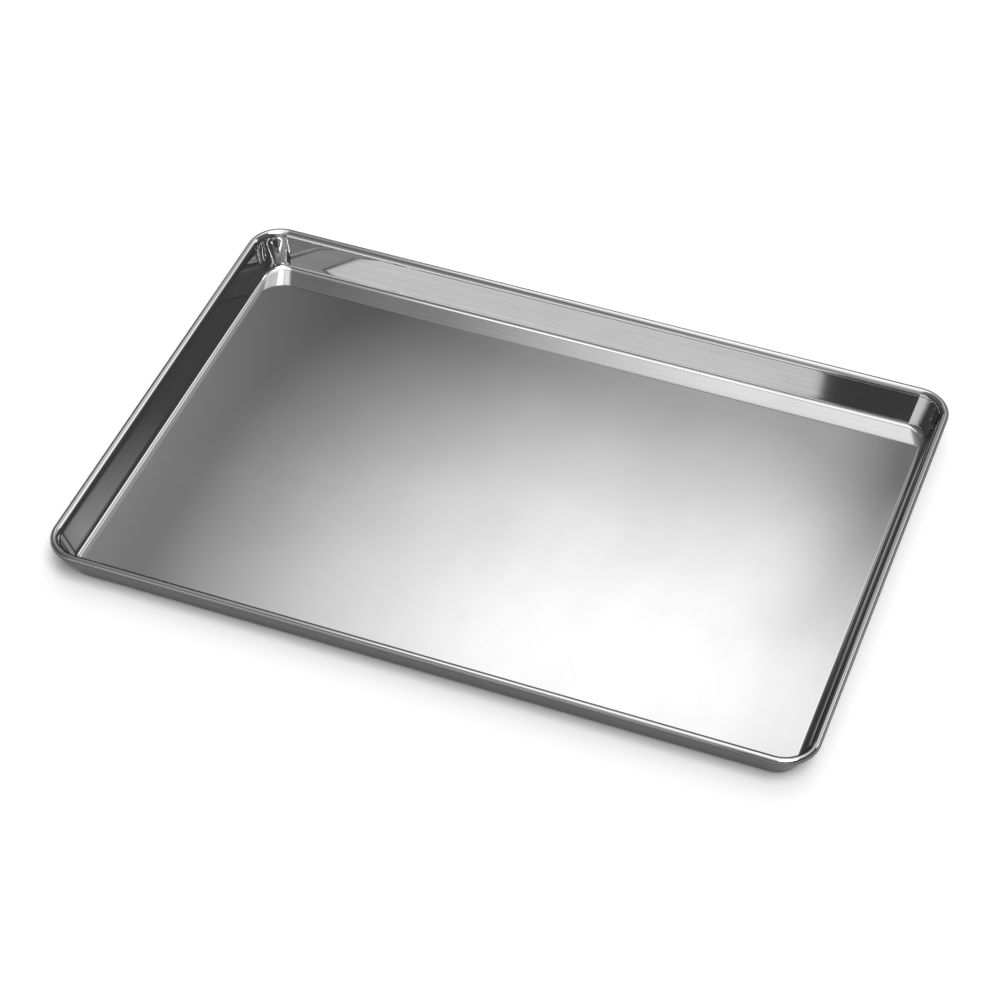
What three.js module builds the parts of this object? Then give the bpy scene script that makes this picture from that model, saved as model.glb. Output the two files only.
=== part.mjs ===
// Sheet pan: a tray pressed from one steel sheet, with its rim curled outwards over a hoop of stiffening wire.
// Millimetres, +Z up, +X along the long side, +Y to the back. The origin is the middle of the underside.

import * as THREE from 'three';

// Driving dimensions
const PAN_LENGTH = 460; // along X, over the curled rim
const PAN_WIDTH = 318; // along Y, over the curled rim
const PAN_HEIGHT = 24; // from the underside of the floor to the top of the rim
const SHEET_THICKNESS = 0.6;
const WALL_DRAFT_DEGREES = 15.5; // lean of the walls from upright
const FOLD_RADIUS = 3; // inside the fold, where the floor turns up into the walls
const RIM_CORNER_RADIUS = 21.5; // in plan, over the curled rim
const FLOOR_CORNER_RADIUS = 13; // in plan, round the flat of the floor
const SHOULDER_RADIUS = 5.5; // of the gentle bend that leads the wall into the curl, on its upper side
const SHOULDER_FACING_DEGREES = 60; // up from level, which way the sheet faces where the curl takes over
const WIRE_DIAMETER = 2.6;
const WIRE_CLEARANCE = 0.3; // all round the wire, inside the curl
const CURL_SEAM_GAP = 0.5; // from the sheet's cut edge to the wall that it comes back to
const WIRE_BUTT_GAP = 1; // between the two ends of the wire hoop

// Facet counts
const CORNER_FACETS = 8;
const FOLD_FACETS = 5;
const SHOULDER_FACETS = 4;
const CURL_FACETS = 14;
const WIRE_SIDES = 10;

// Values that follow from the driving dimensions
const wallDraft = THREE.MathUtils.degToRad(WALL_DRAFT_DEGREES);
const curlRadius = WIRE_DIAMETER / 2 + WIRE_CLEARANCE + SHEET_THICKNESS; // outside of the curl
const curlHeight = PAN_HEIGHT - curlRadius; // of the wire's centre line
const wallAngle = Math.PI / 2 - wallDraft; // of the direction through the sheet, from straight down
const shoulderAngle = Math.PI / 2 - THREE.MathUtils.degToRad(SHOULDER_FACING_DEGREES);
const shoulderInset = curlRadius + (curlRadius - SHOULDER_RADIUS) * Math.sin(shoulderAngle); // of its centre
const shoulderHeight = curlHeight + (curlRadius - SHOULDER_RADIUS) * Math.cos(shoulderAngle);
const wallTopInset = shoulderInset + SHOULDER_RADIUS * Math.sin(wallAngle);
const wallTopHeight = shoulderHeight + SHOULDER_RADIUS * Math.cos(wallAngle);
const wallFootHeight = SHEET_THICKNESS + FOLD_RADIUS * (1 - Math.sin(wallDraft));
const wallFootInset = wallTopInset + (wallTopHeight - wallFootHeight) * Math.tan(wallDraft);
const floorEdgeInset = wallFootInset + FOLD_RADIUS * Math.cos(wallDraft);

/**
 * Outline of the pan in plan, a rectangle with round corners, counterclockwise from the middle of the back.
 * @param {number} inset distance in from the outside of the rim
 * @param {number} cornerRadius
 * @param {number} gap length left open at the middle of the back
 * @returns {THREE.Vector2[]} points from one end of the gap to the other
 */
function panOutline(inset, cornerRadius, gap) {
  const halfWidth = PAN_WIDTH / 2 - inset;
  const cornerX = PAN_LENGTH / 2 - inset - cornerRadius;
  const cornerY = halfWidth - cornerRadius;
  const centres = [[-cornerX, cornerY], [-cornerX, -cornerY], [cornerX, -cornerY], [cornerX, cornerY]];
  const quarter = Math.PI / 2;
  const corners = centres.map(([x, y], turn) => {
    const start = (turn + 1) * quarter;
    return new THREE.EllipseCurve(x, y, cornerRadius, cornerRadius, start, start + quarter);
  });
  const firstEnd = new THREE.Vector2(-gap / 2, halfWidth);
  const lastEnd = new THREE.Vector2(gap / 2, halfWidth);
  return [firstEnd, ...corners.flatMap((corner) => corner.getPoints(CORNER_FACETS)), lastEnd];
}

/**
 * Closed body through a row of loops with equal numbers of points, with a flat, convex cap at each end.
 * The first loop runs counterclockwise when seen from outside its cap.
 * @param {THREE.Vector3[][]} loops
 * @returns {THREE.BufferGeometry}
 */
function loft(loops) {
  const count = loops[0].length;
  const lastStart = (loops.length - 1) * count;
  const index = [];
  for (let start = 0; start < lastStart; start += count) {
    for (let i = 0; i < count; i += 1) {
      const here = start + i;
      const beside = start + ((i + 1) % count);
      index.push(here, here + count, beside + count);
      index.push(here, beside + count, beside);
    }
  }
  for (let i = 1; i < count - 1; i += 1) {
    index.push(0, i, i + 1);
    index.push(lastStart, lastStart + i + 1, lastStart + i);
  }
  const geometry = new THREE.BufferGeometry().setFromPoints(loops.flat());
  geometry.setIndex(index);
  geometry.computeVertexNormals();
  return geometry;
}

/** Corner radius of the sheet's upper side, from the top of the wall down to the edge of the floor. */
function wallCornerRadius(inset) {
  const wallTopRadius = RIM_CORNER_RADIUS - wallTopInset;
  return THREE.MathUtils.mapLinear(inset, wallTopInset, floorEdgeInset, wallTopRadius, FLOOR_CORNER_RADIUS);
}

/**
 * One place along the sheet's upper side, with the direction through the sheet to its lower side.
 * @param {number} inset
 * @param {number} height
 * @param {number} angle of the direction through the sheet, from straight down, turning outwards
 * @param {number} cornerRadius
 */
function sheetStation(inset, height, angle, cornerRadius) {
  const through = { inset: -Math.sin(angle), height: -Math.cos(angle) };
  return { inset, height, cornerRadius, through };
}

/** How far the curl turns, from the shoulder round to where its cut edge comes back to the wall. */
function curlTurn() {
  const shoulderBend = wallAngle - shoulderAngle;
  const wallReach = SHOULDER_RADIUS + (curlRadius - SHOULDER_RADIUS) * Math.cos(shoulderBend);
  const seamReach = wallReach - SHEET_THICKNESS - CURL_SEAM_GAP;
  return 2 * Math.PI - shoulderBend - Math.acos(Math.min(seamReach / curlRadius, 1));
}

/** The sheet's stations, from the edge of the floor, up the fold and the wall, over the shoulder and round the curl. */
function sheetStations() {
  const stations = [];
  for (let i = 0; i <= FOLD_FACETS; i += 1) {
    const angle = (wallAngle * i) / FOLD_FACETS;
    const inset = floorEdgeInset - FOLD_RADIUS * Math.sin(angle);
    const height = SHEET_THICKNESS + FOLD_RADIUS * (1 - Math.cos(angle));
    stations.push(sheetStation(inset, height, angle, wallCornerRadius(inset)));
  }
  for (let i = 0; i < SHOULDER_FACETS; i += 1) {
    const angle = THREE.MathUtils.lerp(wallAngle, shoulderAngle, i / SHOULDER_FACETS);
    const inset = shoulderInset + SHOULDER_RADIUS * Math.sin(angle);
    const height = shoulderHeight + SHOULDER_RADIUS * Math.cos(angle);
    stations.push(sheetStation(inset, height, angle, RIM_CORNER_RADIUS - inset));
  }
  const curlSweep = curlTurn();
  for (let i = 0; i <= CURL_FACETS; i += 1) {
    const angle = shoulderAngle - (curlSweep * i) / CURL_FACETS;
    const inset = curlRadius + curlRadius * Math.sin(angle);
    const height = curlHeight + curlRadius * Math.cos(angle);
    stations.push(sheetStation(inset, height, angle, RIM_CORNER_RADIUS - inset));
  }
  return stations;
}

/** Loop round the pan at one station, at a depth through the sheet from its upper side. */
function sheetLoop(station, depth) {
  const step = depth * station.through.inset;
  const height = station.height + depth * station.through.height;
  const points = panOutline(station.inset + step, station.cornerRadius - step, 0).slice(0, -1);
  return points.map((point) => new THREE.Vector3(point.x, point.y, height));
}

/** Floor, fold, walls and curled rim of one sheet, with the curl left open along its seam. */
function makePanBody() {
  const stations = sheetStations();
  const upperSide = stations.map((station) => sheetLoop(station, 0));
  const lowerSide = stations.map((station) => sheetLoop(station, SHEET_THICKNESS)).reverse();
  const steel = new THREE.MeshStandardMaterial({ color: 0xc9c8c4, metalness: 1, roughness: 0.18 });
  const mesh = new THREE.Mesh(loft([...upperSide, ...lowerSide]), steel);
  mesh.name = 'pan_body';
  return mesh;
}

/** Hoop of round wire in the curl, open where its two ends butt together at the middle of the back. */
function makeRimWire() {
  const wireRadius = WIRE_DIAMETER / 2;
  const strands = [];
  for (let side = 0; side < WIRE_SIDES; side += 1) {
    const angle = (2 * Math.PI * side) / WIRE_SIDES;
    const inset = curlRadius - wireRadius * Math.cos(angle);
    const height = curlHeight + wireRadius * Math.sin(angle);
    const points = panOutline(inset, RIM_CORNER_RADIUS - inset, WIRE_BUTT_GAP);
    strands.push(points.map((point) => new THREE.Vector3(point.x, point.y, height)));
  }
  const sections = strands[0].map((_, place) => strands.map((strand) => strand[place]));
  const zinc = new THREE.MeshStandardMaterial({ color: 0x9c9fa1, metalness: 1, roughness: 0.45 });
  const mesh = new THREE.Mesh(loft(sections), zinc);
  mesh.name = 'rim_wire';
  return mesh;
}

const sheetPan = new THREE.Group();
sheetPan.name = 'sheet_pan';
sheetPan.add(makePanBody(), makeRimWire());

export default sheetPan;
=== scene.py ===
"""Sheet pan of bright steel, dressed and lit as in a studio picture.

A tray pressed from one sheet, with its rim curled outwards over a hoop of wire. Metres, +Z up, +X along the
long side, +Y to the back, with the origin at the middle of the underside.
"""

from __future__ import annotations

import logging
import math
from dataclasses import asdict, dataclass, field
from enum import Enum
from typing import Any, Union

import bpy
from mathutils import Matrix, Vector


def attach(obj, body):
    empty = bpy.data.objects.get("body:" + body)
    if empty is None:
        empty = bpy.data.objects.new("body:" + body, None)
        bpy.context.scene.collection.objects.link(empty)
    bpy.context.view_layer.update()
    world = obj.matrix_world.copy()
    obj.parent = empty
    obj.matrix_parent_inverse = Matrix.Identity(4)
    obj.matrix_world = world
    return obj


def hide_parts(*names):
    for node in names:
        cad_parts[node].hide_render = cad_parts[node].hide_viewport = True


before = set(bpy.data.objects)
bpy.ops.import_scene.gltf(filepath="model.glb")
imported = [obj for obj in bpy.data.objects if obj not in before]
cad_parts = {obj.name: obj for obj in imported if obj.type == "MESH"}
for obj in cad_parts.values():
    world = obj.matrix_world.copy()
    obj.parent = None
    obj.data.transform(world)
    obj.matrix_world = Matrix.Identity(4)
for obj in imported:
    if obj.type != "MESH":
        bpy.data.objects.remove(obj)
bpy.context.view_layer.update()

LOG = logging.getLogger("sheet_pan")
MILLIMETRE = 0.001
BODY = "root"


# Node trees written as formulas

@dataclass(frozen=True)
class Field:
    """A value inside a node tree, so that a rule can be written as a formula."""

    socket: bpy.types.NodeSocket

    def maths(self, operation: str, *values: Number, clamp: bool = False) -> Field:
        """Adds a Math node to the tree.

        Args:
            operation: the node's operation.
            values: all the operands, in order.
            clamp: keeps the result between 0 and 1.

        Returns:
            The node's result.
        """
        bench = Bench(self.socket.id_data)
        node = bench.lay("ShaderNodeMath", dict(enumerate(values)), operation=operation, use_clamp=clamp)
        return Field(node.outputs[0])

    def __add__(self, other: Number) -> Field:
        """Sum of two values."""
        return self.maths("ADD", self, other)

    def __radd__(self, other: Number) -> Field:
        """Sum of a number and this value."""
        return self.maths("ADD", other, self)

    def __sub__(self, other: Number) -> Field:
        """Difference of two values."""
        return self.maths("SUBTRACT", self, other)

    def __rsub__(self, other: Number) -> Field:
        """A number less this value."""
        return self.maths("SUBTRACT", other, self)

    def __mul__(self, other: Number) -> Field:
        """Product of two values."""
        return self.maths("MULTIPLY", self, other)

    def __rmul__(self, other: Number) -> Field:
        """Product of a number and this value."""
        return self.maths("MULTIPLY", other, self)

    def __truediv__(self, other: Number) -> Field:
        """Quotient of two values."""
        return self.maths("DIVIDE", self, other)

    def sine(self) -> Field:
        """Sine of an angle."""
        return self.maths("SINE", self)

    def cosine(self) -> Field:
        """Cosine of an angle."""
        return self.maths("COSINE", self)

    def tangent(self) -> Field:
        """Tangent of an angle."""
        return self.maths("TANGENT", self)

    def arc_cosine(self) -> Field:
        """Angle with this cosine."""
        return self.maths("ARCCOSINE", self)

    def whole(self) -> Field:
        """Largest whole number that isn't above this value."""
        return self.maths("FLOOR", self)

    def clamped(self) -> Field:
        """This value, kept between 0 and 1."""
        return self.maths("ADD", self, 0.0, clamp=True)

    def at_least(self, other: Number) -> Field:
        """The larger of two values."""
        return self.maths("MAXIMUM", self, other)

    def at_most(self, other: Number) -> Field:
        """The smaller of two values."""
        return self.maths("MINIMUM", self, other)

    def above(self, other: Number) -> Field:
        """1 where this value is the larger one, and 0 elsewhere."""
        return self.maths("GREATER_THAN", self, other)

    def towards(self, other: Number, share: Number) -> Field:
        """This value, moved towards another one by a share of the way."""
        return self + (other - self) * share


Number = Union[float, int, Field]


@dataclass(frozen=True)
class Bench:
    """A node tree in the making."""

    tree: bpy.types.NodeTree

    def lay(
        self, kind: str, pins: dict[str | int, Any] | None = None, **settings: Any
    ) -> bpy.types.Node:
        """Adds a node.

        Args:
            kind: the node's type.
            pins: values or fields for its input sockets, by name or place.
            settings: values of the node's own properties.

        Returns:
            The new node.
        """
        node = self.tree.nodes.new(kind)
        for name, value in settings.items():
            setattr(node, name, value)
        for name, value in (pins or {}).items():
            self.plug(value, node.inputs[name])
        return node

    def plug(self, value: Any, pin: bpy.types.NodeSocket) -> None:
        """Links a field or a socket to a pin, or sets the pin to a plain value.

        Args:
            value: the field, socket or plain value.
            pin: the input socket that takes it.
        """
        if isinstance(value, Field):
            value = value.socket
        if isinstance(value, bpy.types.NodeSocket):
            self.tree.links.new(value, pin)
        else:
            pin.default_value = value

    def vector(self, x: Number, y: Number, z: Number) -> bpy.types.NodeSocket:
        """A vector put together from three values."""
        return self.lay("ShaderNodeCombineXYZ", {0: x, 1: y, 2: z}).outputs[0]

    def split(self, vector: bpy.types.NodeSocket) -> tuple[Field, Field, Field]:
        """The three values of a vector."""
        node = self.lay("ShaderNodeSeparateXYZ", {0: vector})
        return Field(node.outputs[0]), Field(node.outputs[1]), Field(node.outputs[2])

    def dot(self, one: bpy.types.NodeSocket, other: bpy.types.NodeSocket) -> Field:
        """Scalar product of two vectors."""
        node = self.lay("ShaderNodeVectorMath", {0: one, 1: other}, operation="DOT_PRODUCT")
        return Field(node.outputs["Value"])

    def entry(self, name: str, kind: str = "NodeSocketFloat") -> None:
        """Adds a named input to the tree."""
        self.tree.interface.new_socket(name=name, in_out="INPUT", socket_type=kind)

    def exit(self, name: str, kind: str = "NodeSocketFloat") -> None:
        """Adds a named output to the tree."""
        self.tree.interface.new_socket(name=name, in_out="OUTPUT", socket_type=kind)


# Sizes and shape of the pan

@dataclass(frozen=True)
class PanSizes:
    """Sizes that the sheet and the wire share."""

    length: float = 459.9 * MILLIMETRE
    width: float = 317.9 * MILLIMETRE
    height: float = 23.97 * MILLIMETRE
    sheet: float = 0.6 * MILLIMETRE
    draft: float = math.radians(15.5)
    fold_radius: float = 3 * MILLIMETRE
    rim_corner: float = 21.5 * MILLIMETRE
    floor_corner: float = 13 * MILLIMETRE
    shoulder: float = 5.5 * MILLIMETRE
    shoulder_facing: float = math.radians(60)
    wire: float = 2.6 * MILLIMETRE
    clearance: float = 0.3 * MILLIMETRE
    seam_gap: float = 0.5 * MILLIMETRE
    butt_gap: float = 1 * MILLIMETRE


@dataclass(frozen=True)
class Divisions:
    """How finely the pan's outline and profile are divided."""

    corner: int = 28
    side: int = 24
    fold: int = 16
    wall: int = 8
    shoulder: int = 14
    curl: int = 40
    wire: int = 24

    @property
    def quarter(self) -> int:
        """Steps along one corner and the side after it."""
        return self.corner + self.side

    @property
    def around(self) -> int:
        """Steps round the whole outline."""
        return 4 * self.quarter

    @property
    def stations(self) -> int:
        """Places along the sheet's profile, from just inside the edge of the floor to the cut edge."""
        return 2 + self.fold + self.wall + self.shoulder + self.curl


FIRST_CORNER = 1.5  # quarter turns from +X to the back left corner, where the outline starts
HALF_STEP = 0.5  # keeps a comparison of whole steps clear of rounding
FLAT_MARGIN = 0.5 * MILLIMETRE  # between the edge of the floor and the loop that keeps the flat of it flat
WELD = 0.002 * MILLIMETRE
SHARP_EDGE = math.radians(50)
PAINTED_SHADE_AREA = "outside"  # attribute, 1 on the underside, the outer faces and the outer half of the curl, where the material paints shade
PAINTED_SHADE_START = 0.26  # shares of the curl between which the polish gives way to the outside's painted shade, a darker base colour that stands in for dark reflections
PAINTED_SHADE_END = 0.33


class SheetFace(Enum):
    """The two sides of the sheet."""

    UPPER = "upper"
    LOWER = "lower"


@dataclass(frozen=True)
class PanRule:
    """The rule of the pan's shape, written into a node tree."""

    bench: Bench
    divisions: Divisions
    sizes: dict[str, Field]

    @classmethod
    def on(cls, bench: Bench, divisions: Divisions) -> PanRule:
        """Adds the pan's sizes to a tree as named inputs.

        Args:
            bench: the tree.
            divisions: how finely the shape is divided.

        Returns:
            The rule, with a field for each size.
        """
        for name in asdict(PanSizes()):
            bench.entry(name)
        inputs = bench.lay("NodeGroupInput")
        return cls(bench, divisions, {name: Field(inputs.outputs[name]) for name in asdict(PanSizes())})

    def curl_radius(self) -> Field:
        """Radius over the outside of the curl."""
        return self.sizes["wire"] / 2 + self.sizes["clearance"] + self.sizes["sheet"]

    def curl_share(self, station: Number) -> Field:
        """Share of the curl that lies before a station, 0 at its start and 1 at the cut edge."""
        start = 1 + self.divisions.fold + self.divisions.wall + self.divisions.shoulder
        return ((station - start) / self.divisions.curl).clamped()

    def outline(self, place: Number, inset: Number, corner: Number) -> tuple[Field, Field]:
        """A point of the outline in plan, counterclockwise from the back left corner.

        Args:
            place: number of steps round the outline.
            inset: distance in from the outside of the rim.
            corner: radius of the corners.

        Returns:
            The point's X and Y.
        """
        quarter_turn = math.pi / 2
        turn = (place / self.divisions.quarter).whole()
        step = place - turn * self.divisions.quarter
        swing = (step / self.divisions.corner).clamped()
        along = ((step - self.divisions.corner) / self.divisions.side).clamped()
        reach_x = self.sizes["length"] / 2 - inset - corner
        reach_y = self.sizes["width"] / 2 - inset - corner
        diagonal = math.sqrt(2)
        here = (turn + FIRST_CORNER) * quarter_turn
        following = here + quarter_turn
        centre_x = reach_x * diagonal * here.cosine().towards(following.cosine(), along)
        centre_y = reach_y * diagonal * here.sine().towards(following.sine(), along)
        facing = (turn + 1 + swing) * quarter_turn
        return centre_x + corner * facing.cosine(), centre_y + corner * facing.sine()

    def profile(self, station: Number, depth: Number) -> tuple[Field, Field, Field]:
        """A point of the sheet's profile, from inside the edge of the floor, up the wall and round the curl.

        Args:
            station: number of steps along the profile, 0 just inside the edge of the floor.
            depth: distance through the sheet from its upper side.

        Returns:
            The point's inset from the outside of the rim, its height, and the corner radius there.
        """
        sizes = self.sizes
        curl = self.curl_radius()
        shoulder = sizes["shoulder"]
        wall_angle = math.pi / 2 - sizes["draft"]
        rim_angle = math.pi / 2 - sizes["shoulder_facing"]
        bend = wall_angle - rim_angle
        shoulder_inset = curl + (curl - shoulder) * rim_angle.sine()
        shoulder_height = sizes["height"] - curl + (curl - shoulder) * rim_angle.cosine()
        top_inset = shoulder_inset + shoulder * wall_angle.sine()
        top_height = shoulder_height + shoulder * wall_angle.cosine()
        foot_height = sizes["sheet"] + sizes["fold_radius"] * (1 - wall_angle.cosine())
        foot_inset = top_inset + (top_height - foot_height) * sizes["draft"].tangent()
        floor_inset = foot_inset + sizes["fold_radius"] * wall_angle.sine()
        seam_reach = shoulder + (curl - shoulder) * bend.cosine() - sizes["sheet"] - sizes["seam_gap"]
        curl_sweep = math.tau - bend - (seam_reach / curl).at_most(1).arc_cosine()

        fold_end = 1 + self.divisions.fold
        wall_end = fold_end + self.divisions.wall
        margin = (1 - station).clamped() * FLAT_MARGIN
        wall_share = ((station - fold_end) / self.divisions.wall).clamped()
        fold_angle = wall_angle * ((station - 1) / self.divisions.fold).clamped()
        shoulder_turn = bend * ((station - wall_end) / self.divisions.shoulder).clamped()
        curl_turn = curl_sweep * self.curl_share(station)
        shoulder_angle = wall_angle - shoulder_turn
        curl_angle = rim_angle - curl_turn
        angle = fold_angle - shoulder_turn - curl_turn

        inset = floor_inset + margin - sizes["fold_radius"] * fold_angle.sine()
        inset = inset + (top_inset - foot_inset) * wall_share
        inset = inset + shoulder * (shoulder_angle.sine() - wall_angle.sine())
        inset = inset + curl * (curl_angle.sine() - rim_angle.sine())
        height = sizes["sheet"] + sizes["fold_radius"] * (1 - fold_angle.cosine())
        height = height + (top_height - foot_height) * wall_share
        height = height + shoulder * (shoulder_angle.cosine() - wall_angle.cosine())
        height = height + curl * (curl_angle.cosine() - rim_angle.cosine())

        top_corner = sizes["rim_corner"] - top_inset
        share_down = (inset - top_inset) / (floor_inset - top_inset)
        wall_corner = top_corner.towards(sizes["floor_corner"], share_down)
        on_rim = Field.above(station, wall_end)
        corner = wall_corner.towards(sizes["rim_corner"] - inset, on_rim)
        outwards = depth * angle.sine()
        return inset - outwards, height - depth * angle.cosine(), corner + outwards


def bake(name: str, tree: bpy.types.NodeTree, values: dict[str, Any]) -> bpy.types.Object:
    """Runs a Geometry Nodes tree and keeps its result as a plain mesh.

    Args:
        name: of the new piece.
        tree: the tree, with the geometry as its only output.
        values: of the tree's named inputs.

    Returns:
        The piece, at the origin, with no modifier.
    """
    maker = bpy.data.objects.new(name + "_maker", bpy.data.meshes.new(name + "_maker"))
    bpy.context.scene.collection.objects.link(maker)
    modifier = maker.modifiers.new("shape", "NODES")
    modifier.node_group = tree
    for socket in tree.interface.items_tree:
        if socket.item_type == "SOCKET" and socket.in_out == "INPUT":
            modifier[socket.identifier] = values[socket.name]
    maker.update_tag()
    bpy.context.view_layer.update()
    shaped = maker.evaluated_get(bpy.context.evaluated_depsgraph_get())
    mesh = bpy.data.meshes.new_from_object(shaped)
    mesh.name = name
    piece = bpy.data.objects.new(name, mesh)
    bpy.context.scene.collection.objects.link(piece)
    maker.modifiers.remove(modifier)
    bpy.data.objects.remove(maker)
    return piece


def settle(piece: bpy.types.Object, node: str) -> None:
    """Puts a finished piece in the frame and reports it.

    Args:
        piece: the plain mesh object.
        node: the CAD node that it stands for.
    """
    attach(piece, BODY)
    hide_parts(node)
    piece.data.calc_loop_triangles()
    LOG.info("%s: %d triangles, stands for %s", piece.name, len(piece.data.loop_triangles), node)


@dataclass
class PanBody:
    """Floor, fold, walls and curled rim, pressed from one sheet."""

    sizes: PanSizes = field(default_factory=PanSizes)
    divisions: Divisions = field(default_factory=Divisions)

    def tree(self) -> bpy.types.NodeTree:
        """Builds the tree that shapes the sheet.

        Returns:
            A Geometry Nodes tree with the pan's sizes and its material as inputs.
        """
        tree = bpy.data.node_groups.new("Pressed sheet", "GeometryNodeTree")
        bench = Bench(tree)
        rule = PanRule.on(bench, self.divisions)
        bench.entry("material", "NodeSocketMaterial")
        bench.exit("Geometry", "NodeSocketGeometry")
        parts = [self.side(rule), *(self.cap(rule, face) for face in SheetFace)]
        join = bench.lay("GeometryNodeJoinGeometry")
        for part in parts:
            tree.links.new(part, join.inputs[0])
        weld = bench.lay("GeometryNodeMergeByDistance", {"Geometry": join.outputs[0], "Distance": WELD})
        finish_tree(bench, weld.outputs[0])
        return tree

    def side(self, rule: PanRule) -> bpy.types.NodeSocket:
        """The sheet from the edge of the floor to the cut edge, and back along its lower side.

        Args:
            rule: of the pan's shape.

        Returns:
            The mesh, open towards the floor.
        """
        rows = 2 * self.divisions.stations
        columns = self.divisions.around
        grid = rule.bench.lay("GeometryNodeMeshGrid", {
            "Size X": columns, "Size Y": rows - 1, "Vertices X": columns + 1, "Vertices Y": rows,
        })
        place, row = self.steps(rule.bench, columns, rows - 1)
        station = row.at_most(rows - 1 - row)
        outside = row.above(self.divisions.stations - HALF_STEP)
        depth = rule.sizes["sheet"] * outside
        inset, height, corner = rule.profile(station, depth)
        x, y = rule.outline(place, inset, corner)
        # painted shade: the outer half of the curl is marked along with the underside and outer faces, for a
        # darker base colour that stands in for dark reflections
        rim_painted_shade = ((rule.curl_share(station) - PAINTED_SHADE_START) / (PAINTED_SHADE_END - PAINTED_SHADE_START)).clamped()
        marked = self.mark(rule.bench, grid.outputs["Mesh"], outside.at_least(rim_painted_shade))
        moved = rule.bench.lay("GeometryNodeSetPosition", {
            "Geometry": marked, "Position": rule.bench.vector(x, y, height),
        })
        return rule.bench.lay("GeometryNodeFlipFaces", {"Mesh": moved.outputs[0]}).outputs[0]

    @staticmethod
    def mark(bench: Bench, mesh: bpy.types.NodeSocket, outside: Number) -> bpy.types.NodeSocket:
        """Notes on each point whether it is on the outside of the pan, where the material paints shade.

        Args:
            bench: the tree.
            mesh: with the points.
            outside: 1 on the outside of the pan, where shade is painted, 0 on the inside.

        Returns:
            The mesh with the note as an attribute.
        """
        pins = {"Geometry": mesh, "Name": PAINTED_SHADE_AREA, "Value": outside}
        note = bench.lay("GeometryNodeStoreNamedAttribute", pins, data_type="FLOAT", domain="POINT")
        return note.outputs[0]

    @staticmethod
    def steps(bench: Bench, columns: int, rows: int) -> tuple[Field, Field]:
        """Whole steps round the outline and along the profile, from a grid's own positions.

        Args:
            bench: the tree.
            columns: steps across the grid.
            rows: steps up the grid.

        Returns:
            The column and the row of each of the grid's points.
        """
        x, y, _ = bench.split(bench.lay("GeometryNodeInputPosition").outputs[0])
        return (x + (columns / 2 + HALF_STEP)).whole(), (y + (rows / 2 + HALF_STEP)).whole()

    def cap(self, rule: PanRule, face: SheetFace) -> bpy.types.NodeSocket:
        """One side of the flat floor.

        Args:
            rule: of the pan's shape.
            face: which side of the sheet.

        Returns:
            The mesh, one face that looks away from the sheet.
        """
        lower = face is SheetFace.LOWER
        corners = {"Vertices": self.divisions.around}
        circle = rule.bench.lay("GeometryNodeMeshCircle", corners, fill_type="NGON")
        place = Field(rule.bench.lay("GeometryNodeInputIndex").outputs[0])
        inset, height, corner = rule.profile(place * 0, rule.sizes["sheet"] if lower else 0.0)
        x, y = rule.outline(place, inset, corner)
        flat = rule.bench.lay("GeometryNodeSetPosition", {
            "Geometry": circle.outputs["Mesh"], "Position": rule.bench.vector(x, y, height),
        }).outputs[0]
        if lower:
            flat = rule.bench.lay("GeometryNodeFlipFaces", {"Mesh": flat}).outputs[0]
        return self.mark(rule.bench, flat, float(lower))

    def build(self, finish: MetalFinish) -> bpy.types.Object:
        """Shapes the sheet and gives it its finish.

        Args:
            finish: of the sheet.

        Returns:
            The piece.
        """
        piece = bake("pan_sheet", self.tree(), asdict(self.sizes) | {"material": finish.material()})
        settle(piece, "pan_body")
        return piece


@dataclass
class RimWire:
    """Hoop of round wire in the curl, open where its two ends butt together at the middle of the back."""

    sizes: PanSizes = field(default_factory=PanSizes)
    divisions: Divisions = field(default_factory=Divisions)

    def tree(self) -> bpy.types.NodeTree:
        """Builds the tree that bends the wire.

        Returns:
            A Geometry Nodes tree with the pan's sizes and the wire's material as inputs.
        """
        tree = bpy.data.node_groups.new("Bent wire", "GeometryNodeTree")
        bench = Bench(tree)
        rule = PanRule.on(bench, self.divisions)
        bench.entry("material", "NodeSocketMaterial")
        bench.exit("Geometry", "NodeSocketGeometry")
        steps = self.divisions.around
        quarters_before_back = 3
        back = quarters_before_back * self.divisions.quarter + self.divisions.corner
        start = back + self.divisions.side // 2
        line = bench.lay("GeometryNodeMeshLine", {"Count": steps + 1})
        index = Field(bench.lay("GeometryNodeInputIndex").outputs[0])
        centre = rule.curl_radius()
        place = index.maths("MODULO", index + start, steps)
        x, y = rule.outline(place, centre, rule.sizes["rim_corner"] - centre)
        half_gap = rule.sizes["butt_gap"] / 2
        x = x + half_gap * index.above(steps - HALF_STEP) - half_gap * (1 - index.above(HALF_STEP))
        path = bench.lay("GeometryNodeSetPosition", {
            "Geometry": line.outputs["Mesh"], "Position": bench.vector(x, y, rule.sizes["height"] - centre),
        })
        curve = bench.lay("GeometryNodeMeshToCurve", {"Mesh": path.outputs[0]})
        section = bench.lay("GeometryNodeCurvePrimitiveCircle", {
            "Resolution": self.divisions.wire, "Radius": rule.sizes["wire"] / 2,
        })
        swept = bench.lay("GeometryNodeCurveToMesh", {
            "Curve": curve.outputs[0], "Profile Curve": section.outputs[0], "Fill Caps": True,
        })
        finish_tree(bench, swept.outputs[0])
        return tree

    def build(self, finish: MetalFinish) -> bpy.types.Object:
        """Bends the wire and gives it its finish.

        Args:
            finish: of the wire.

        Returns:
            The piece.
        """
        piece = bake("stiffening_wire", self.tree(), asdict(self.sizes) | {"material": finish.material()})
        settle(piece, "rim_wire")
        return piece


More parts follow.
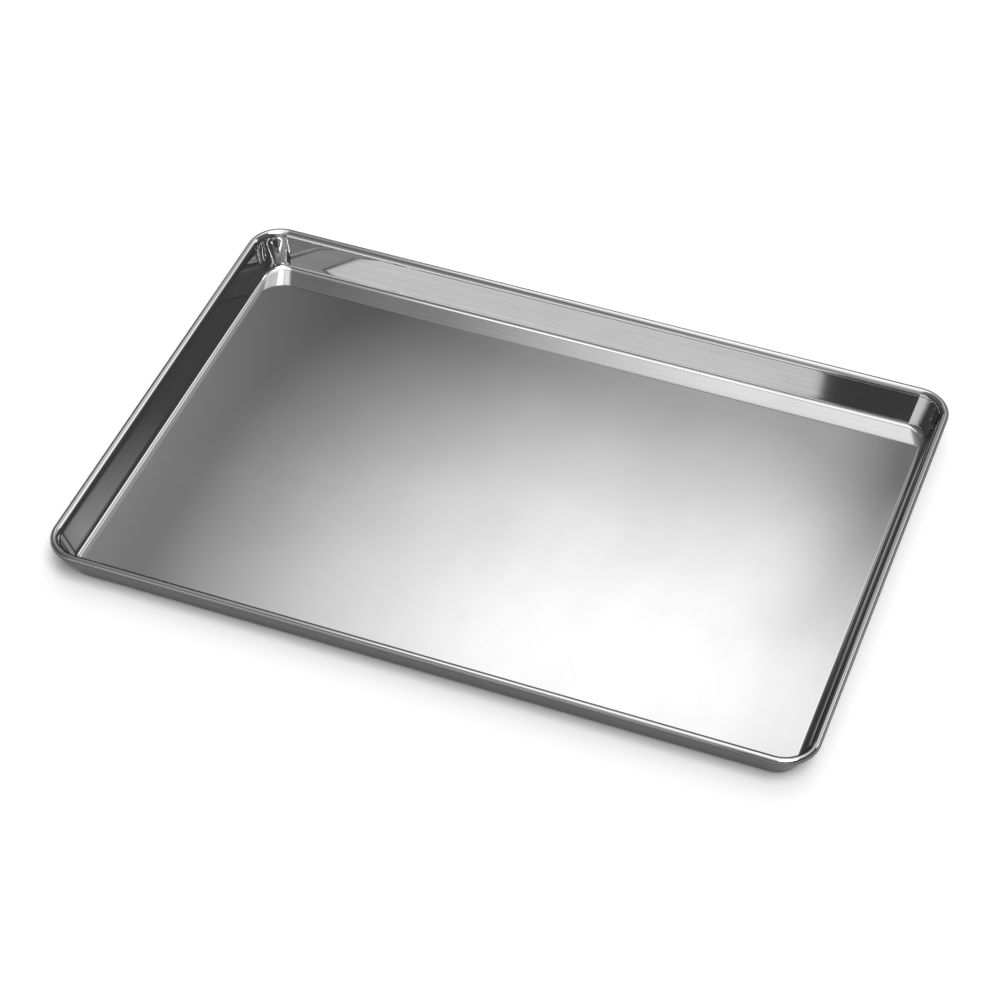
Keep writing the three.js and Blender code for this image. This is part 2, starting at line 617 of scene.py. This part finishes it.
def finish_tree(bench: Bench, geometry: bpy.types.NodeSocket) -> None:
    """Ends a tree: smooth faces with crisp cut edges, real meshes, and the material.

    Args:
        bench: the tree, with an input named material and an output for the geometry.
        geometry: the finished shape.
    """
    angle = Field(bench.lay("GeometryNodeInputMeshEdgeAngle").outputs["Unsigned Angle"])
    smooth = bench.lay("GeometryNodeSetShadeSmooth", {
        "Geometry": geometry, "Shade Smooth": True,
    }, domain="FACE")
    crisp = bench.lay("GeometryNodeSetShadeSmooth", {
        "Geometry": smooth.outputs[0], "Selection": angle.above(SHARP_EDGE), "Shade Smooth": False,
    }, domain="EDGE")
    real = bench.lay("GeometryNodeRealizeInstances", {"Geometry": crisp.outputs[0]})
    inputs = bench.lay("NodeGroupInput")
    dressed = bench.lay("GeometryNodeSetMaterial", {
        "Geometry": real.outputs[0], "Material": inputs.outputs["material"],
    })
    bench.lay("NodeGroupOutput", {"Geometry": dressed.outputs[0]})


# Finishes

class Effect(Enum):
    """Surface effects that the metals share, each one a node group."""

    GRAIN = "Rolling grain"
    WAVES = "Sheet waviness"
    HANDLING = "Handling haze"
    HAIRLINES = "Hairline marks"


NOISE_MIDDLE = 0.5
GRAIN_DETAIL = 4.0  # numbers of finer layers in the noise
SWELL_DETAIL = 1.0
HAZE_DETAIL = 3.0
MARK_DETAIL = 2.0
HAZE_START = 0.45  # noise between which a patch of haze comes up
HAZE_END = 0.72
MARK_START = 0.70  # noise between which a thin mark comes up
MARK_END = 0.78
MARK_TURNS = (math.radians(28), math.radians(-63))


def smooth_step(bench: Bench, value: Field, start: float, end: float) -> Field:
    """A smooth rise along a value.

    Args:
        bench: the tree.
        value: that the rise follows.
        start: where the rise starts, at 0.
        end: where it ends, at 1.

    Returns:
        The rise.
    """
    pins = {"Value": value, "From Min": start, "From Max": end}
    return Field(bench.lay("ShaderNodeMapRange", pins, interpolation_type="SMOOTHSTEP").outputs[0])


class EffectShelf:
    """Makes each shared effect once and hands it out after that."""

    @classmethod
    def get(cls, effect: Effect) -> bpy.types.NodeTree:
        """Finds an effect's node group, and makes it if it isn't there yet.

        Args:
            effect: the one wanted.

        Returns:
            The shader node group.
        """
        there = bpy.data.node_groups.get(effect.value)
        if there is not None:
            return there
        makers = {
            Effect.GRAIN: cls.grain,
            Effect.WAVES: cls.waves,
            Effect.HANDLING: cls.handling,
            Effect.HAIRLINES: cls.hairlines,
        }
        tree = bpy.data.node_groups.new(effect.value, "ShaderNodeTree")
        bench = Bench(tree)
        bench.entry("Place", "NodeSocketVector")
        bench.entry("Cycles", "NodeSocketVector")
        bench.exit("Amount")
        pins = bench.lay("NodeGroupInput").outputs
        amount = makers[effect](bench, pins["Place"], pins["Cycles"])
        bench.lay("NodeGroupOutput", {"Amount": amount})
        return tree

    @staticmethod
    def noise(
        bench: Bench, place: bpy.types.NodeSocket, stretch: bpy.types.NodeSocket, detail: float
    ) -> Field:
        """Noise on stretched coordinates.

        Args:
            bench: the tree.
            place: coordinates on the piece.
            stretch: cycles of the noise to a metre, along each axis.
            detail: number of finer layers in the noise.

        Returns:
            The noise, with NOISE_MIDDLE as its middle.
        """
        stretched = bench.lay("ShaderNodeVectorMath", {0: place, 1: stretch}, operation="MULTIPLY")
        pins = {"Vector": stretched.outputs[0], "Scale": 1.0, "Detail": detail}
        return Field(bench.lay("ShaderNodeTexNoise", pins).outputs[0])

    @classmethod
    def grain(cls, bench: Bench, place: bpy.types.NodeSocket, cycles: bpy.types.NodeSocket) -> Field:
        """Fine lines that the rolls leave, along the sheet's own direction."""
        return cls.noise(bench, place, cycles, GRAIN_DETAIL)

    @classmethod
    def waves(cls, bench: Bench, place: bpy.types.NodeSocket, cycles: bpy.types.NodeSocket) -> Field:
        """Slow swells of a thin sheet, as a height."""
        return cls.noise(bench, place, cycles, SWELL_DETAIL)

    @classmethod
    def handling(cls, bench: Bench, place: bpy.types.NodeSocket, cycles: bpy.types.NodeSocket) -> Field:
        """Patches where hands and cloths have left a thin haze."""
        return smooth_step(bench, cls.noise(bench, place, cycles, HAZE_DETAIL), HAZE_START, HAZE_END)

    @classmethod
    def hairlines(cls, bench: Bench, place: bpy.types.NodeSocket, cycles: bpy.types.NodeSocket) -> Field:
        """Thin marks in two directions, from stacking and wiping.

        Args:
            bench: the tree.
            place: coordinates on the piece.
            cycles: of the noise to a metre, along each axis.

        Returns:
            The marks, 1 where one is full.
        """
        layers = []
        for turn in MARK_TURNS:
            pins = {"Vector": place, "Angle": turn}
            turned = bench.lay("ShaderNodeVectorRotate", pins, rotation_type="Z_AXIS")
            lines = cls.noise(bench, turned.outputs[0], cycles, MARK_DETAIL)
            rise = {"Value": lines, "From Min": MARK_START, "From Max": MARK_END}
            layers.append(Field(bench.lay("ShaderNodeMapRange", rise).outputs[0]))
        return layers[0].at_least(layers[1])


TURN_START = 0.7 * MILLIMETRE  # heights between which the floor's satin gives way to the walls' polish
TURN_END = 5 * MILLIMETRE
CURL_START = 19.5 * MILLIMETRE  # heights between which the curl comes in, darker at grazing angles
CURL_END = 21.5 * MILLIMETRE


@dataclass(frozen=True)
class MetalFinish:
    """Bare bright metal with its grain, swells, haze and marks, and painted shade on the outside of the pan.
    """

    name: str
    tint: tuple[float, float, float]
    grazing_tint: float
    flat_roughness: float
    turned_roughness: float
    haze_roughness: float
    haze_shade: float
    painted_outside_shade: float
    grain_cycles: tuple[float, float, float]
    grain_shade: float
    grain_height: float
    line_cycles: tuple[float, float, float]
    line_shade: float
    wave_cycles: tuple[float, float, float]
    wave_height: float
    haze_cycles: tuple[float, float, float]
    mark_cycles: tuple[float, float, float]
    mark_roughness: float

    def material(self) -> bpy.types.Material:
        """Builds the material.

        Returns:
            A material on Object coordinates.
        """
        material = bpy.data.materials.new(self.name)
        material.use_nodes = True
        material.node_tree.nodes.clear()
        bench = Bench(material.node_tree)
        place = bench.lay("ShaderNodeTexCoord").outputs["Object"]
        _, _, height = bench.split(place)
        grain = self.effect(bench, Effect.GRAIN, place, self.grain_cycles)
        lines = self.effect(bench, Effect.GRAIN, place, self.line_cycles)
        waves = self.effect(bench, Effect.WAVES, place, self.wave_cycles)
        haze = self.effect(bench, Effect.HANDLING, place, self.haze_cycles)
        marks = self.effect(bench, Effect.HAIRLINES, place, self.mark_cycles)

        shade = 1 + (grain - NOISE_MIDDLE) * self.grain_shade
        shade = shade + (lines - NOISE_MIDDLE) * self.line_shade - haze * self.haze_shade
        # painted shade: the base colour goes darker on the outside of the pan and the outer half of the curl,
        # standing in for the dark reflections there
        if self.painted_outside_shade > 0:
            outside = Field(bench.lay("ShaderNodeAttribute", attribute_name=PAINTED_SHADE_AREA).outputs["Fac"])
            shade = shade * (1 - outside * self.painted_outside_shade)
        colour = bench.lay("ShaderNodeCombineColor", dict(enumerate(shade * share for share in self.tint)))
        turned = smooth_step(bench, height, TURN_START, TURN_END)
        roughness = turned * (self.turned_roughness - self.flat_roughness) + self.flat_roughness
        roughness = roughness + haze * self.haze_roughness + marks * self.mark_roughness
        relief = waves * self.wave_height + grain * self.grain_height
        bump = bench.lay("ShaderNodeBump", {"Height": relief, "Strength": 1.0, "Distance": MILLIMETRE})
        shader = bench.lay("ShaderNodeBsdfPrincipled", {
            "Base Color": colour.outputs[0], "Metallic": 1.0, "Roughness": roughness,
            "Normal": bump.outputs[0],
        })
        if self.grazing_tint < 1:
            curled = smooth_step(bench, height, CURL_START, CURL_END)
            grazing = 1 + curled * (self.grazing_tint - 1)
            tint = bench.lay("ShaderNodeCombineColor", {0: grazing, 1: grazing, 2: grazing})
            bench.plug(tint.outputs[0], shader.inputs["Specular Tint"])
        bench.lay("ShaderNodeOutputMaterial", {"Surface": shader.outputs[0]})
        return material

    @staticmethod
    def effect(bench: Bench, effect: Effect, place: bpy.types.NodeSocket, cycles: tuple[float, ...]) -> Field:
        """Places a shared effect in the material.

        Args:
            bench: the material's tree.
            effect: the one wanted.
            place: coordinates on the piece.
            cycles: how often the effect repeats in a metre, along each axis.

        Returns:
            The effect's value over the surface.
        """
        node = bench.lay("ShaderNodeGroup", node_tree=EffectShelf.get(effect))
        bench.plug(place, node.inputs["Place"])
        bench.plug(cycles, node.inputs["Cycles"])
        return Field(node.outputs[0])


BRIGHT_STEEL = MetalFinish(
    name="bright_rolled_steel",
    tint=(0.71, 0.71, 0.71),
    grazing_tint=0.0,
    flat_roughness=0.04,
    turned_roughness=0.028,
    haze_roughness=0.02,
    haze_shade=0.03,
    # painted shade: how much darker the outside's base colour is made
    painted_outside_shade=0.76,
    grain_cycles=(900.0, 25.0, 900.0),
    grain_shade=0.03,
    grain_height=0.0,
    line_cycles=(10.0, 10.0, 1100.0),
    line_shade=0.25,
    wave_cycles=(14.0, 9.0, 40.0),
    wave_height=0.015,
    haze_cycles=(18.0, 9.0, 18.0),
    mark_cycles=(700.0, 12.0, 700.0),
    mark_roughness=0.02,
)

GALVANISED_WIRE = MetalFinish(
    name="galvanised_wire",
    tint=(0.60, 0.61, 0.62),
    grazing_tint=1.0,
    flat_roughness=0.40,
    turned_roughness=0.40,
    haze_roughness=0.12,
    haze_shade=0.10,
    painted_outside_shade=0.0,
    grain_cycles=(400.0, 400.0, 400.0),
    grain_shade=0.20,
    grain_height=0.01,
    line_cycles=(40.0, 40.0, 40.0),
    line_shade=0.0,
    wave_cycles=(60.0, 60.0, 60.0),
    wave_height=0.02,
    haze_cycles=(90.0, 90.0, 90.0),
    mark_cycles=(800.0, 40.0, 800.0),
    mark_roughness=0.08,
)


# Studio

CARD_SIDES = ("Left", "Right", "Low", "High")
CEILING = 2.0  # height of the cards over the pan
LEAN = math.radians(10.4)  # of the long strip overhead, out of line with the pan
WHITE = (1.0, 1.0, 1.0, 1.0)


class Facing(Enum):
    """Which way a card lies from the pan."""

    OVERHEAD = (0.0, 0.0, 1.0)
    FRONT = (0.0, -1.0, 0.0)
    BACK = (0.0, 1.0, 0.0)


@dataclass(frozen=True)
class SoftCard:
    """A lit panel of the studio, as it is seen from the pan.

    Edges and feathers are in the order left, right, low and high, as the panel is seen from the pan. An edge
    is the distance from the centre to where the light is at half, and its feather is how far the light takes
    to fade.
    """

    name: str
    centre: tuple[float, float, float]
    facing: Facing
    edges: tuple[float, float, float, float]
    feathers: tuple[float, float, float, float]
    radiance: float
    turn: float = 0.0

    def axes(self) -> tuple[Vector, Vector, Vector]:
        """The card's directions.

        Returns:
            Unit vectors from the pan to the card's plane, across the card and up it.
        """
        away = Vector(self.facing.value)
        if self.facing is Facing.OVERHEAD:
            across = Vector((1, 0, 0))
            upright = Vector((0, 1, 0))
        else:
            across = away.cross(Vector((0, 0, 1)))
            upright = across.cross(away)
        spin = Matrix.Rotation(self.turn, 3, away)
        return away, spin @ across, spin @ upright


@dataclass(frozen=True)
class Studio:
    """Pale floor and soft light all round."""

    cards: tuple[SoftCard, ...]
    low_ambient: float = 0.06
    high_ambient: float = 0.22
    floor_half: float = 40.0
    floor_drop: float = 0.2 * MILLIMETRE
    floor_colour: tuple[float, float, float, float] = (0.965, 0.965, 0.965, 1.0)

    def card_group(self) -> bpy.types.NodeTree:
        """Builds the group that says how much of a card is seen along a direction.

        Returns:
            A shader node group with one mask as its output.
        """
        tree = bpy.data.node_groups.new("Soft card", "ShaderNodeTree")
        bench = Bench(tree)
        for name in ("Direction", "Centre", "Away", "Across", "Up"):
            bench.entry(name, "NodeSocketVector")
        for side in CARD_SIDES:
            bench.entry(side + " Edge")
            bench.entry(side + " Feather")
        bench.exit("Mask")
        pins = bench.lay("NodeGroupInput").outputs
        along = bench.dot(pins["Direction"], pins["Away"])
        nearly_level = 0.001
        half_fade = 0.5
        reach = bench.dot(pins["Centre"], pins["Away"]) / along.at_least(nearly_level)
        mask = along.above(nearly_level)
        for axis, sides in (("Across", CARD_SIDES[:2]), ("Up", CARD_SIDES[2:])):
            place = bench.dot(pins["Direction"], pins[axis]) * reach - bench.dot(pins["Centre"], pins[axis])
            for side, outwards in zip(sides, (-1, 1)):
                beyond = (place * outwards - Field(pins[side + " Edge"])) / Field(pins[side + " Feather"])
                mask = mask * smooth_step(bench, beyond, half_fade, -half_fade)
        bench.lay("NodeGroupOutput", {"Mask": mask})
        return tree

    def light(self) -> None:
        """Lights the studio with its cards and an even ambient."""
        world = bpy.data.worlds.new("studio")
        bpy.context.scene.world = world
        world.use_nodes = True
        world.node_tree.nodes.clear()
        bench = Bench(world.node_tree)
        group = self.card_group()
        direction = bench.lay("ShaderNodeTexCoord").outputs["Generated"]
        _, _, up = bench.split(direction)
        radiance = up * up * (self.high_ambient - self.low_ambient) + self.low_ambient
        for card in self.cards:
            away, across, upright = card.axes()
            node = bench.lay("ShaderNodeGroup", node_tree=group, label=card.name)
            values = {"Direction": direction, "Centre": card.centre}
            values |= {"Away": away, "Across": across, "Up": upright}
            values |= {side + " Edge": edge for side, edge in zip(CARD_SIDES, card.edges)}
            values |= {side + " Feather": feather for side, feather in zip(CARD_SIDES, card.feathers)}
            for name, value in values.items():
                bench.plug(value, node.inputs[name])
            radiance = radiance.at_least(Field(node.outputs[0]) * card.radiance)
        shader = bench.lay("ShaderNodeBackground", {"Color": WHITE, "Strength": radiance})
        bench.lay("ShaderNodeOutputWorld", {"Surface": shader.outputs[0]})

    def lay_floor(self) -> None:
        """Lays the pale floor under the pan."""
        half = self.floor_half
        corners = [(-half, -half), (half, -half), (half, half), (-half, half)]
        mesh = bpy.data.meshes.new("studio_floor")
        mesh.from_pydata([(x, y, -self.floor_drop) for x, y in corners], [], [(0, 1, 2, 3)])
        material = bpy.data.materials.new("pale_floor")
        material.use_nodes = True
        material.node_tree.nodes.clear()
        bench = Bench(material.node_tree)
        shader = bench.lay("ShaderNodeBsdfDiffuse", {"Color": self.floor_colour})
        bench.lay("ShaderNodeOutputMaterial", {"Surface": shader.outputs[0]})
        mesh.materials.append(material)
        floor = bpy.data.objects.new("studio_floor", mesh)
        bpy.context.scene.collection.objects.link(floor)


CARDS = (
    SoftCard("overhead strip", (-0.73, 0.825, CEILING), Facing.OVERHEAD, radiance=1.07, turn=LEAN,
             edges=(0.02, 0.49, 2.90, 0.18), feathers=(1.18, 0.29, 0.12, 1.20)),
    SoftCard("strip end", (-0.52, 1.41, CEILING), Facing.OVERHEAD, radiance=1.60, turn=LEAN,
             edges=(0.26, 0.27, 0.04, 0.60), feathers=(0.58, 0.23, 1.20, 0.67)),
    SoftCard("strip corner", (-0.53, 1.54, CEILING), Facing.OVERHEAD, radiance=1.29, turn=math.radians(25),
             edges=(0.10, 0.385, 0.21, 0.35), feathers=(0.20, 0.30, 0.82, 0.52)),
    SoftCard("overhead near", (0.56, -0.92, CEILING), Facing.OVERHEAD, radiance=1.60,
             edges=(1.09, 0.50, 0.02, 0.59), feathers=(0.43, 0.40, 0.78, 0.73)),
    SoftCard("overhead middle", (-0.10, 0.45, CEILING), Facing.OVERHEAD, radiance=1.65,
             edges=(0.52, 0.70, 0.55, 0.60), feathers=(0.16, 0.40, 0.30, 0.30)),
    SoftCard("overhead fill", (0.735, -0.15, CEILING), Facing.OVERHEAD, radiance=1.12,
             edges=(0.73, 0.055, 1.32, 1.51), feathers=(1.20, 0.37, 0.43, 0.71)),
    SoftCard("key", (0.70, -0.90, CEILING), Facing.OVERHEAD, radiance=12.4,
             edges=(0.50, 0.48, 0.65, 0.65), feathers=(0.40, 0.30, 0.40, 0.40)),
    SoftCard("left fill", (-1.73, 1.78, CEILING), Facing.OVERHEAD, radiance=0.40,
             edges=(0.79, 0.78, 0.74, 0.48), feathers=(0.76, 0.50, 0.41, 1.20)),
    SoftCard("front band", (-0.306, -2.0, 0.31), Facing.FRONT, radiance=0.92,
             edges=(0.0, 1.9, 0.17, 0.19), feathers=(0.004, 3.0, 0.08, 0.06)),
    SoftCard("front crest", (-0.306, -2.0, 0.66), Facing.FRONT, radiance=1.4,
             edges=(0.0, 1.9, 0.12, 0.12), feathers=(0.004, 3.0, 0.08, 0.10)),
    SoftCard("front right fill", (0.75, -2.0, 0.62), Facing.FRONT, radiance=0.5,
             edges=(0.8, 0.5, 0.30, 0.30), feathers=(0.6, 0.1, 0.20, 0.20)),
    SoftCard("front fill", (0.0, -2.0, 1.35), Facing.FRONT, radiance=0.36,
             edges=(1.6, 1.6, 0.60, 0.70), feathers=(0.8, 0.8, 0.2, 0.5)),
    SoftCard("back right panel", (1.9, 2.0, 2.0), Facing.BACK, radiance=1.2,
             edges=(1.0, 1.2, 0.60, 0.70), feathers=(0.5, 0.6, 0.50, 0.6)),
    SoftCard("back right skirt", (0.95, 2.0, 1.30), Facing.BACK, radiance=0.42,
             edges=(0.40, 0.50, 0.35, 0.35), feathers=(0.2, 0.4, 0.20, 0.2)),
    SoftCard("back fill", (-0.59, 2.0, 1.72), Facing.BACK, radiance=0.50,
             edges=(0.16, 0.26, 1.06, 0.50), feathers=(0.54, 0.14, 0.735, 0.30)),
    SoftCard("back high fill", (0.375, 2.0, 2.42), Facing.BACK, radiance=0.45,
             edges=(0.76, 0.69, 0.48, 0.60), feathers=(0.20, 0.47, 0.12, 0.40)),
    SoftCard("back left card", (-1.54, 2.0, 1.29), Facing.BACK, radiance=0.42, turn=math.radians(-50),
             edges=(0.70, 0.70, 0.25, 0.17), feathers=(0.1, 0.1, 0.15, 0.12)),
    SoftCard("back arc", (0.50, 2.0, 1.79), Facing.BACK, radiance=0.57,
             edges=(0.73, 0.38, 0.58, 0.34), feathers=(0.93, 1.01, 0.21, 0.125)),
)


@dataclass(frozen=True)
class PhotoCamera:
    """Camera at the picture's viewing angle."""

    place: tuple[float, float, float] = (0.415057, -1.161650, 1.215804)
    target: tuple[float, float, float] = (-0.005157, -0.002966, 0.0)
    roll: float = math.radians(0.8365)
    lens: float = 104.767
    sensor: float = 36.0
    sight: float = 200.0

    def build(self) -> bpy.types.Object:
        """Makes the camera and hands it to the scene.

        Returns:
            The camera object.
        """
        camera = bpy.data.cameras.new("studio_camera")
        camera.lens = self.lens
        camera.sensor_width = self.sensor
        camera.sensor_fit = "HORIZONTAL"
        camera.clip_end = self.sight
        holder = bpy.data.objects.new("studio_camera", camera)
        backwards = Vector(self.place) - Vector(self.target)
        turn = backwards.to_track_quat("Z", "Y").to_matrix().to_4x4()
        holder.matrix_world = Matrix.Translation(self.place) @ turn @ Matrix.Rotation(self.roll, 4, "Z")
        bpy.context.scene.collection.objects.link(holder)
        bpy.context.scene.camera = holder
        return holder


def main() -> None:
    """Builds the pan's pieces and the studio, and reports each one."""
    logging.basicConfig(level=logging.INFO, format="%(name)s: %(message)s")
    bpy.context.scene.view_settings.view_transform = "Standard"
    PhotoCamera().build()
    PanBody().build(BRIGHT_STEEL)
    RimWire().build(GALVANISED_WIRE)
    studio = Studio(CARDS)
    studio.light()
    studio.lay_floor()
    bpy.context.view_layer.update()


if __name__ == "__main__":
    main()
